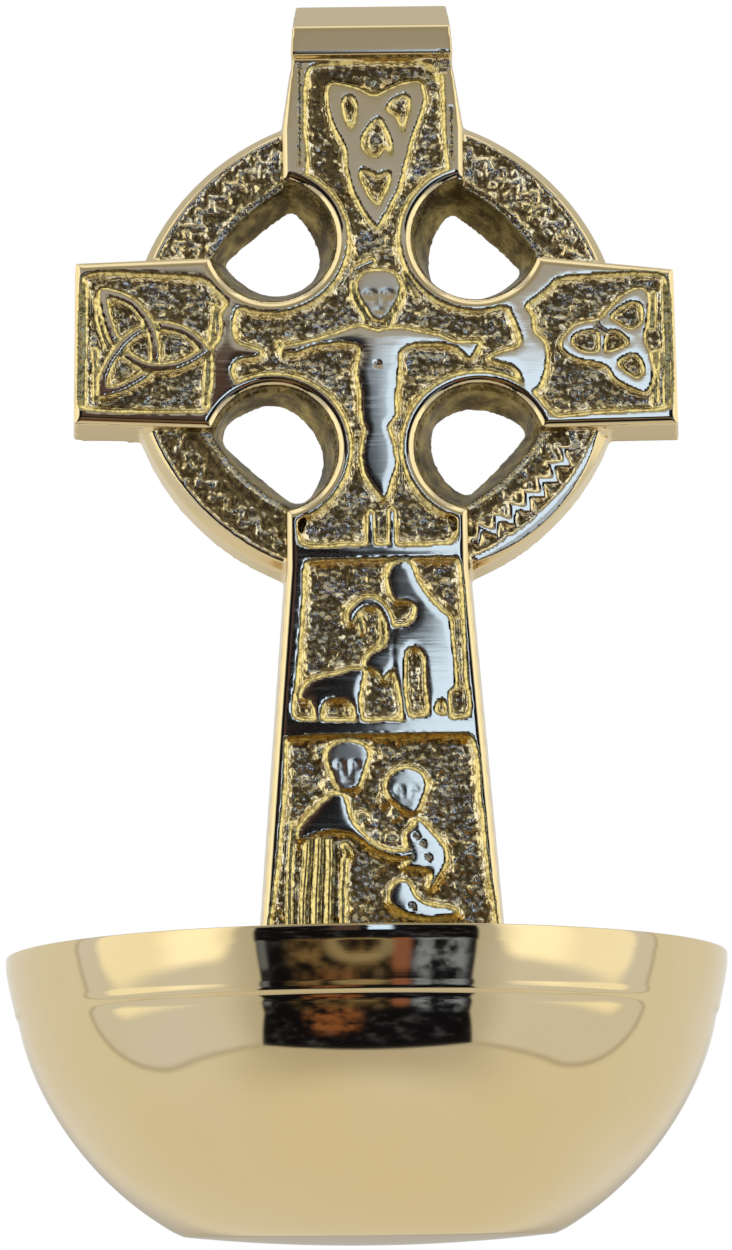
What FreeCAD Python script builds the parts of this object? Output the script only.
"""Wall-hung holy water stoup: a cast brass Celtic cross screwed to a half-round cast brass bowl.

Heights are measured from the foot of the bowl. X runs to the right, -Y out of the wall, Z up, in millimetres.
The cross's own outlines are drawn seen from the front, as (x, height above the centre of its ring).
The finished pieces are moved so that the origin is the mouth of the hanging hole in the cross's flat back.
"""
import FreeCAD
import Part

import math
import os

from FreeCAD import Vector

# Cross: levels in depth, measured out from the wall
FRONT = 6.5              # polished borders and the tops of the figures
FIELD = 5.2              # pebbled ground between them
RING_FRONT = 5.3         # borders of the ring
RING_FIELD = 4.6         # sunk band of the ring
DRAFT = 0.7              # how much smaller the front outline is than the back, on each side

# Cross: outline
CENTRE_HEIGHT = 113.4    # ring centre above the foot of the bowl
RING_RADIUS = 32.9
RING_HOLE_BACK = 23.0    # arc that closes each opening on its outer side
RING_HOLE_FRONT = 24.9
ARMPIT_X = 13.3          # centres of the four round openings
ARMPIT_Z = 14.1
ARMPIT_BACK = 6.7
ARMPIT_FRONT = 8.55
BORDER = 1.4             # width of the polished border round the fields

UPRIGHT_FOOT = 15.1      # half-width of the front face where the upright meets the bowl
UPRIGHT_WAIST = 11.5     # half-width just below the ring
UPRIGHT_SHOULDER = 11.8  # half-width where the ring meets the top arm
UPRIGHT_TOP = 10.4       # half-width under the cap
WAIST_Z = -30.0
SHOULDER_Z = 29.3
CAP_Z = 39.0             # underside of the cap
CAP_EDGE_Z = 43.0        # where the cap's face turns back into its roof
CAP_TOP_Z = 48.2
CAP_FRONT = 7.7
CAP_RIDGE = 2.0          # depth of the roof's ridge, out from the wall
ARM_REACH = 38.9         # tips of the side arms, at the front

# Joint between the cross and the bowl
TONGUE_WIDTH = 20.0
TONGUE_THICKNESS = 2.5
TONGUE_LENGTH = 26.0
CHANNEL_CLEARANCE = 0.1
SCREW_HEIGHTS = (25.5, 13.5)
SCREW_RADIUS = 2.0
SCREW_LENGTH = 6.6
SCREW_CLEARANCE = 0.2
HEAD_RADIUS = 3.9
HEAD_DEPTH = 1.9
HEAD_SINK = 0.1          # the heads lie just below the flat back
BOSS_RADIUS = 5.2
BOSS_FRONT = 8.0         # face of the bosses inside the bowl, out from the wall
TAPPED_DEPTH = 7.0

# Hanging hole
HANG_Z = 28.0            # above the ring's centre
HANG_RADIUS = 2.6
HANG_DEPTH = 4.2

# Bowl
BOWL_X = -2.0            # the cross stands a little to the right of the bowl's middle
BOWL_AXIS = 2.6          # the bowl's turning axis lies this far behind the wall's face
RIM_HEIGHT = 34.4
RIM_RADIUS = 45.6
BAND_HEIGHT = 27.3       # lower edge of the band under the rim
BAND_STEP = 0.45
DOME_SAG = 1.4           # how far the middle of the underside hangs below the foot
BELLY_HEIGHT = 39.75     # centre of the ball that the belly is part of
BELLY_RADIUS = 46.3
WALL = 2.1
BACK_WALL = 4.0
FLOOR_HEIGHT = 2.0


def plate(outline, back, front):
    """A flat plate with the given outline, between two depths out from the wall."""
    corners = [Vector(x, -back, CENTRE_HEIGHT + z) for x, z in outline]
    face = Part.Face(Part.makePolygon(corners + corners[:1]))
    return face.extrude(Vector(0, back - front, 0))


def drafted_plate(outline, draft_x, draft_z):
    """A plate from the wall to the front, wider at the back so that its pattern leaves the sand."""
    wires = []
    for depth, share in ((0.0, 1.0), (FRONT, 0.0)):
        corners = [
            Vector(
                x + math.copysign(share * draft_x, x),
                -depth,
                CENTRE_HEIGHT + z + math.copysign(share * draft_z, z),
            )
            for x, z in outline
        ]
        wires.append(Part.makePolygon(corners + corners[:1]))
    return Part.makeLoft(wires, True, True)


def post(x, z, radius, back, front):
    """A round post that stands out of the wall, by its place in the cross's front view."""
    return Part.makeCylinder(radius, front - back, Vector(x, -back, CENTRE_HEIGHT + z), Vector(0, -1, 0))


def tapered_post(x, z, back_radius, front_radius, back, front):
    """A post with a different radius at its back and front."""
    place = Vector(x, -back, CENTRE_HEIGHT + z)
    return Part.makeCone(back_radius, front_radius, front - back, place, Vector(0, -1, 0))


def fused(shapes):
    """All the shapes as one solid, with the seams between coplanar faces taken out."""
    return shapes[0].multiFuse(shapes[1:]).removeSplitter()


def ring():
    """The ring as a full disc with its bevelled edge, raised borders and sunk band."""
    profile = [
        (0, 0),
        (RING_RADIUS, 0),
        (RING_RADIUS - 0.5, 3.9),
        (RING_RADIUS - 1.7, RING_FRONT),
        (RING_RADIUS - 2.1, RING_FRONT),
        (RING_RADIUS - 2.5, RING_FIELD),
        (RING_HOLE_FRONT + 1.5, RING_FIELD),
        (RING_HOLE_FRONT + 1.1, RING_FRONT),
        (0, RING_FRONT),
    ]
    corners = [Vector(radius, -depth, CENTRE_HEIGHT) for radius, depth in profile]
    face = Part.Face(Part.makePolygon(corners + corners[:1]))
    return face.revolve(Vector(0, 0, CENTRE_HEIGHT), Vector(0, 1, 0), 360)


def upright_half_width(z):
    """Half-width of the upright's front face below the ring, at a height from the ring's centre."""
    foot_z = RIM_HEIGHT - CENTRE_HEIGHT
    share = (WAIST_Z - z) / (WAIST_Z - foot_z)
    return UPRIGHT_WAIST + share * (UPRIGHT_FOOT - UPRIGHT_WAIST)


def upright():
    """The upright from the bowl's back wall to the underside of the cap."""
    foot_z = RIM_HEIGHT - CENTRE_HEIGHT
    right = [
        (UPRIGHT_FOOT, foot_z),
        (UPRIGHT_WAIST, WAIST_Z),
        (UPRIGHT_WAIST, 0),
        (UPRIGHT_SHOULDER, SHOULDER_Z),
        (UPRIGHT_TOP, CAP_Z),
    ]
    left = [(-x, z) for x, z in reversed(right)]
    return drafted_plate(right + left, DRAFT, 0.0)


def side_arms():
    """Both side arms; the right one is cut a little lower and smaller than the left."""
    outline = [
        (-ARM_REACH, 11.1),
        (-21.0, 11.7),
        (21.0, 11.4),
        (ARM_REACH, 9.4),
        (ARM_REACH, -11.3),
        (21.0, -11.6),
        (-21.0, -11.2),
        (-ARM_REACH, -10.4),
    ]
    return drafted_plate(outline, DRAFT, DRAFT)


def cap():
    """The capstone: a block that stands forward of the cross, with a roof that leans back to the wall."""
    section = [
        (0, CAP_Z),
        (CAP_FRONT, CAP_Z),
        (CAP_FRONT, CAP_EDGE_Z),
        (CAP_RIDGE, CAP_TOP_Z),
        (0, CAP_TOP_Z),
    ]
    half = UPRIGHT_TOP + DRAFT
    corners = [Vector(-half, -depth, CENTRE_HEIGHT + z) for depth, z in section]
    block = Part.Face(Part.makePolygon(corners + corners[:1])).extrude(Vector(2 * half, 0, 0))
    sides = [(-half + 0.4, CAP_Z), (half - 0.4, CAP_Z), (half - 1.0, CAP_TOP_Z), (-half + 1.0, CAP_TOP_Z)]
    return block.common(plate(sides, 0, CAP_FRONT))


def openings():
    """The four openings between the ring and the arms, wider at the front than at the back."""
    reach = FRONT + 1.0
    grow = (ARMPIT_FRONT - ARMPIT_BACK) / FRONT
    tools = []
    for side in (-1, 1):
        for level in (-1, 1):
            armpit = tapered_post(
                side * ARMPIT_X, level * ARMPIT_Z,
                ARMPIT_BACK - grow, ARMPIT_BACK + grow * reach, -1.0, reach,
            )
            inside_ring = tapered_post(
                0, 0,
                RING_HOLE_BACK - grow, RING_HOLE_BACK + grow * reach, -1.0, reach,
            )
            tools.append(armpit.common(inside_ring))
    return tools


def fields():
    """The sunk grounds: the cross's own field, split by ridges and bars, and the two shaft panels."""
    foot_z = RIM_HEIGHT - CENTRE_HEIGHT
    above = FRONT + 1.0
    tall = plate(
        [(-10.1, -27.0), (10.2, -27.0), (10.2, -20.0), (8.7, 0), (8.7, 37.6), (-8.7, 37.6), (-8.7, 0), (-10.1, -20.0)],
        FIELD, above,
    )
    wide = plate(
        [(-20.0, 9.9), (20.0, 9.6), (37.2, 8.0), (37.2, -9.6), (20.0, -10.0), (-20.0, -9.8)],
        FIELD, above,
    )
    left_arm = plate([(-37.3, 9.2), (-21.6, 9.6), (-21.9, -9.6), (-37.3, -8.7)], FIELD, above)
    carved = fused([tall, wide])
    for side in (-1, 1):
        for level in (-1, 1):
            rim = post(side * ARMPIT_X, level * ARMPIT_Z, ARMPIT_FRONT + BORDER, 0, above + 1)
            carved = carved.cut(rim)
            left_arm = left_arm.cut(rim)
    panels = []
    for top, bottom in ((-28.9, -49.3), (-51.5, foot_z)):
        top_half = upright_half_width(top) - 1.1
        bottom_half = upright_half_width(bottom) - 1.3
        outline = [(-top_half, top), (top_half, top), (bottom_half, bottom), (-bottom_half, bottom)]
        panels.append(plate(outline, FIELD, above))
    return [carved, left_arm] + panels


def island(outline, holes=()):
    """A flat-topped figure that stands up from the ground to the level of the borders."""
    shape = plate(outline, FIELD - 0.4, FRONT)
    for hole in holes:
        shape = shape.cut(plate(hole, FIELD, FRONT + 1.0))
    return shape


def head(x, z, width, height):
    """A flat-topped head: the overlap of two rounds, taller than it is wide."""
    radius = (height ** 2 + width ** 2) / (4 * width)
    sides = [post(x + side * (radius - width / 2), z, radius, FIELD - 0.4, FRONT) for side in (-1, 1)]
    chin_and_crown = post(x, z, height / 2 - 0.2, FIELD - 0.4, FRONT)
    return sides[0].common(sides[1]).common(chin_and_crown)


def triquetra(x, z, radius, spacing, width, turn):
    """Three interlaced arcs: each pair of circles gives one pointed loop of the knot."""
    centres = []
    for step in range(3):
        angle = math.radians(turn + 120 * step)
        reach = spacing / math.sqrt(3)
        centres.append((x + reach * math.cos(angle), z + reach * math.sin(angle)))
    loops = []
    for first, second in ((0, 1), (1, 2), (2, 0)):
        outer, inner = [
            post(*centres[first], size, FIELD - 0.4, FRONT + lift).common(
                post(*centres[second], size, FIELD - 0.4, FRONT + lift))
            for size, lift in ((radius + width / 2, 0.0), (radius - width / 2, 1.0))
        ]
        loops.append(outer.cut(inner))
    return fused(loops)


def shield_knot():
    """The pointed knot of the top arm, pierced by its loops and a heart."""
    right = [(0.4, 33.8), (3.4, 34.7), (6.5, 35.8), (6.9, 32.2), (5.9, 29.2), (4.5, 26.5), (4.1, 22.5), (0.4, 15.4)]
    left = [(0.8 - x, z) for x, z in reversed(right[1:-1])]
    holes = [
        [(-3.6, 34.3), (-2.3, 33.9), (-1.8, 32.3), (-2.3, 29.2), (-3.7, 31.2), (-4.0, 33.2)],
        [(4.9, 34.2), (5.2, 32.2), (4.0, 28.2), (2.6, 32.0), (3.6, 33.7)],
        [(0.2, 31.2), (1.4, 28.6), (1.2, 26.3), (0.2, 25.1), (-1.5, 26.2), (-1.8, 27.6)],
        [(-1.9, 23.5), (0.5, 22.8), (2.4, 23.5), (2.1, 20.6), (0.2, 18.3), (-1.5, 20.6)],
    ]
    return island(right + left, holes)


def crucified_figure():
    """The figure on the cross, arms outstretched, with the foot of its own small cross below."""
    body = island(
        [
            (-12.8, 0.5), (-8.7, 0.6), (-4.2, 1.2), (-1.2, 1.9), (0.6, 2.6), (2.6, 1.8), (5.0, 1.0), (13.0, 0.4),
            (12.5, -2.0), (10.6, -0.6), (6.8, -0.2), (3.5, -0.9), (2.8, -5.0), (2.6, -11.1), (2.8, -18.0),
            (1.4, -21.2), (-1.2, -21.5), (-2.9, -18.5), (-1.7, -11.1), (-1.8, -4.0), (-2.1, -0.9),
            (-4.8, -0.2), (-9.6, -0.9), (-11.7, -2.1),
        ],
    )
    feet = [island([(x, -21.0), (x + 1.2, -21.0), (x + 1.2, -27.5), (x, -27.5)]) for x in (-1.3, 1.4)]
    return [head(0.4, 6.1, 5.2, 7.2), body] + feet


def arm_terminals():
    """The beaked shapes that close the centre field at both sides."""
    left = [(-22.2, 4.6), (-18.2, 4.6), (-18.2, 0), (-15.2, -0.9), (-18.2, -2.1), (-18.4, -6.2), (-22.2, -7.4)]
    right = [
        (18.0, 4.6), (20.5, 2.4), (22.2, -1.2), (21.8, -5.2), (20.9, -7.4), (19.1, -6.6), (18.9, -3.4),
        (15.3, -2.4), (18.6, -1.5), (19.0, 0.8),
    ]
    shapes = [island(left), island(right)]
    for side in (-1, 1):
        for level in (-1, 1):
            edge = post(side * ARMPIT_X, level * ARMPIT_Z, ARMPIT_FRONT + 0.4, 0, FRONT + 1)
            shapes = [shape.cut(edge) for shape in shapes]
    return shapes


def shepherd_panel():
    """The upper shaft panel: a robed shepherd with a crook, and a lamb."""
    shepherd = island(
        [
            (3.4, -29.7), (4.8, -30.7), (5.2, -32.0), (8.6, -35.7), (9.6, -38.0), (10.1, -41.3), (10.0, -45.5),
            (8.8, -46.2), (8.7, -49.7), (2.6, -49.7), (1.9, -42.6), (1.5, -40.5), (2.5, -37.8), (4.4, -37.0),
            (4.8, -34.8), (2.6, -34.0), (1.3, -31.6), (2.0, -30.2),
        ],
        [[(3.4, -49.2), (3.3, -41.4), (4.5, -40.2), (5.9, -41.6), (5.8, -49.2)]],
    )
    crook = post(-0.8, -37.2, 3.4, FIELD - 0.4, FRONT).cut(post(-0.8, -37.2, 2.3, FIELD - 1.0, FRONT + 1.0))
    crook = crook.cut(plate([(-4.5, -37.6), (0.0, -37.6), (0.0, -41.5), (-4.5, -41.5)], FIELD - 1.0, FRONT + 1.0))
    lamb = island([
        (-9.6, -45.7), (-8.7, -44.3), (-6.3, -43.3), (-2.6, -43.0), (-1.8, -41.9), (0.0, -40.8), (1.9, -41.0),
        (1.9, -42.8), (0.3, -44.0), (-1.7, -43.9), (-2.1, -49.6), (-3.0, -49.6), (-3.6, -47.8), (-5.6, -47.2),
        (-6.9, -47.8), (-7.1, -49.6), (-8.1, -49.6), (-8.5, -47.8),
    ])
    return [shepherd, crook, lamb]


def visitation_panel():
    """The lower shaft panel: a standing figure in a pleated robe reaches out to a smaller one."""
    shoulders = island([
        (-7.5, -59.4), (-4.7, -58.8), (-3.7, -61.1), (-1.3, -64.4), (3.5, -65.8), (4.1, -67.4), (-0.7, -66.9),
        (-3.1, -64.9), (-6.5, -64.2), (-10.1, -64.9), (-10.6, -63.5),
    ])
    pleats = []
    for step in range(5):
        top_x = -10.1 + 1.22 * step
        foot_x = -11.3 + 1.5 * step
        pleats.append(island(
            [(top_x, -64.0), (top_x + 0.8, -64.0), (foot_x + 0.9, -79.0), (foot_x, -79.0)]))
    small_body = island([(4.2, -62.0), (6.6, -64.0), (8.1, -66.8), (7.6, -68.8), (6.3, -69.9), (3.8, -68.8),
                         (3.4, -65.8), (3.3, -63.2)])
    kneeling = island([
        (1.0, -72.2), (2.4, -69.6), (4.1, -69.6), (3.9, -71.6), (6.4, -73.4), (9.3, -73.6), (9.2, -74.9),
        (4.4, -75.2), (2.0, -74.2),
    ])
    heads = [head(-4.0, -55.6, 5.2, 6.4), head(3.2, -59.2, 4.6, 6.0)]
    return heads + [shoulders, small_body, kneeling] + pleats


def tongue():
    """The thin tongue below the cross's shoulder, which lies in the channel of the bowl's back."""
    half = TONGUE_WIDTH / 2
    top_z = RIM_HEIGHT - CENTRE_HEIGHT
    foot_z = top_z - TONGUE_LENGTH
    outline = [(-half, foot_z + 2), (-half + 2, foot_z), (half - 2, foot_z), (half, foot_z + 2)]
    outline += [(half, top_z + 1), (-half, top_z + 1)]
    return plate(outline, 0, TONGUE_THICKNESS)


def countersunk_holes():
    """Clearance holes through the tongue, countersunk from the back."""
    tools = []
    for height in SCREW_HEIGHTS:
        level = height - CENTRE_HEIGHT
        tools.append(post(0, level, SCREW_RADIUS + SCREW_CLEARANCE, -1, TONGUE_THICKNESS + 1))
        tools.append(tapered_post(0, level, HEAD_RADIUS + HEAD_SINK, SCREW_RADIUS, 0, HEAD_DEPTH + HEAD_SINK))
    return tools


def celtic_cross():
    """The cross as one casting, with its reliefs, its openings and its fixing tongue."""
    body = fused([ring(), upright(), side_arms(), cap()])
    body = body.cut(openings())
    body = body.cut(fields())
    raised = [triquetra(-30.9, 0.1, 7.2, 8.6, 1.3, 180), triquetra(31.7, -0.2, 6.3, 7.6, 1.8, 0)]
    raised += [shield_knot()] + crucified_figure() + arm_terminals()
    raised += shepherd_panel() + visitation_panel()
    for shape in raised + [tongue()]:
        body = body.fuse(shape)
    for hole in countersunk_holes() + [post(0, HANG_Z, HANG_RADIUS, -1, HANG_DEPTH)]:
        body = body.cut(hole)
    return body.removeSplitter()


def turned(edges):
    """The solid swept by a closed profile about the bowl's axis."""
    face = Part.Face(Part.Wire(edges))
    return face.revolve(Vector(0, 0, 0), Vector(0, 0, 1), 360)


def line(first, second):
    """A straight edge of a turned profile, between two (radius, height) points."""
    return Part.makeLine(Vector(first[0], 0, first[1]), Vector(second[0], 0, second[1]))


def ball_arc(radius, middle_height, low, high):
    """A round edge of a turned profile: part of a ball centred on the turning axis, between two heights."""
    points = []
    for height in (low, (low + high) / 2, high):
        rise = height - middle_height
        points.append(Vector(math.sqrt(max(radius ** 2 - rise ** 2, 0)), 0, height))
    return Part.Arc(*points).toShape()


def belly_point(height, inset=0.0):
    """The (radius, height) of the belly, or of a surface inset from it."""
    rise = height - BELLY_HEIGHT
    return (math.sqrt((BELLY_RADIUS - inset) ** 2 - rise ** 2), height)


def bowl_outside():
    """The outside: shallow dome, foot edge, belly, and the band under the rim."""
    foot = belly_point(0)
    dome_middle = (foot[0] / 2, -0.75 * DOME_SAG)
    belly_top = belly_point(BAND_HEIGHT - 0.3)
    lip = (belly_top[0] + BAND_STEP, BAND_HEIGHT + 0.2)
    band_middle = (RIM_RADIUS - 0.28, RIM_HEIGHT - 4.0)
    band_top = (RIM_RADIUS, RIM_HEIGHT - 1.8)
    rim_edge = (RIM_RADIUS, RIM_HEIGHT - 0.6)
    rim_top = (RIM_RADIUS - 0.6, RIM_HEIGHT)
    return turned([
        line((0, RIM_HEIGHT), (0, -DOME_SAG)),
        line((0, -DOME_SAG), dome_middle),
        line(dome_middle, foot),
        ball_arc(BELLY_RADIUS, BELLY_HEIGHT, 0, belly_top[1]),
        line(belly_top, lip),
        line(lip, band_middle),
        line(band_middle, band_top),
        line(band_top, rim_edge),
        line(rim_edge, rim_top),
        line(rim_top, (0, RIM_HEIGHT)),
    ])


def bowl_inside():
    """The hollow: level floor, a wall of even thickness, and a softened inner edge at the rim."""
    floor_edge = belly_point(FLOOR_HEIGHT, WALL)
    mouth = belly_point(RIM_HEIGHT - 0.8, WALL)
    lip = (mouth[0] + 0.6, RIM_HEIGHT)
    top = RIM_HEIGHT + 5
    return turned([
        line((0, FLOOR_HEIGHT), floor_edge),
        ball_arc(BELLY_RADIUS - WALL, BELLY_HEIGHT, FLOOR_HEIGHT, mouth[1]),
        line(mouth, lip),
        line(lip, (lip[0], top)),
        line((lip[0], top), (0, top)),
        line((0, top), (0, FLOOR_HEIGHT)),
    ])


def water_bowl():
    """The bowl: half of a turned form behind a flat back wall, with the channel and two tapped bosses."""
    reach = 2 * RIM_RADIUS
    axis = Vector(BOWL_X, BOWL_AXIS, 0)
    front_half = Part.makeBox(2 * reach, reach, reach, Vector(-reach, -reach, -reach / 2))
    before_wall = Part.makeBox(2 * reach, reach, reach, Vector(-reach, -reach - BACK_WALL, -reach / 2))
    outside = bowl_outside().translated(axis).common(front_half)
    inside = bowl_inside().translated(axis).common(before_wall)
    shell = outside.cut(inside)
    bosses = []
    tapped = []
    for height in SCREW_HEIGHTS:
        level = height - CENTRE_HEIGHT
        bosses.append(tapered_post(0, level, BOSS_RADIUS + 0.5, BOSS_RADIUS, BACK_WALL - 0.5, BOSS_FRONT))
        tapped.append(post(0, level, SCREW_RADIUS, 0, TAPPED_DEPTH))
    half = TONGUE_WIDTH / 2 + CHANNEL_CLEARANCE
    foot_height = RIM_HEIGHT - TONGUE_LENGTH - CHANNEL_CLEARANCE
    channel = Part.makeBox(
        2 * half, TONGUE_THICKNESS + 1, TONGUE_LENGTH + 5,
        Vector(-half, -TONGUE_THICKNESS, foot_height),
    )
    return fused([shell] + bosses).cut([channel] + tapped).removeSplitter()


def cross_screw(height):
    """A slotted countersunk screw, driven in from behind."""
    level = height - CENTRE_HEIGHT
    head = tapered_post(0, level, HEAD_RADIUS, SCREW_RADIUS, HEAD_SINK, HEAD_SINK + HEAD_DEPTH)
    shank = post(0, level, SCREW_RADIUS, HEAD_SINK + HEAD_DEPTH, SCREW_LENGTH)
    slot = Part.makeBox(2 * HEAD_RADIUS + 1, 1.1, 0.9, Vector(-HEAD_RADIUS - 0.5, -1.0, height - 0.45))
    return head.fuse(shank).removeSplitter().cut(slot)


def write(name, shape):
    """Moves a piece so that the origin is the hanging hole's mouth, checks it and writes it."""
    placed = shape.translated(Vector(0, 0, -CENTRE_HEIGHT - HANG_Z))
    print(name, "valid", placed.isValid(), "solids", len(placed.Solids), "volume", round(placed.Volume, 1))
    placed.exportStep("parts/" + name + ".step")


def main():
    """Builds every piece of the stoup."""
    os.makedirs("parts", exist_ok=True)
    write("celtic_cross", celtic_cross())
    write("water_bowl", water_bowl())
    write("cross_screws", Part.makeCompound([cross_screw(height) for height in SCREW_HEIGHTS]))


main()
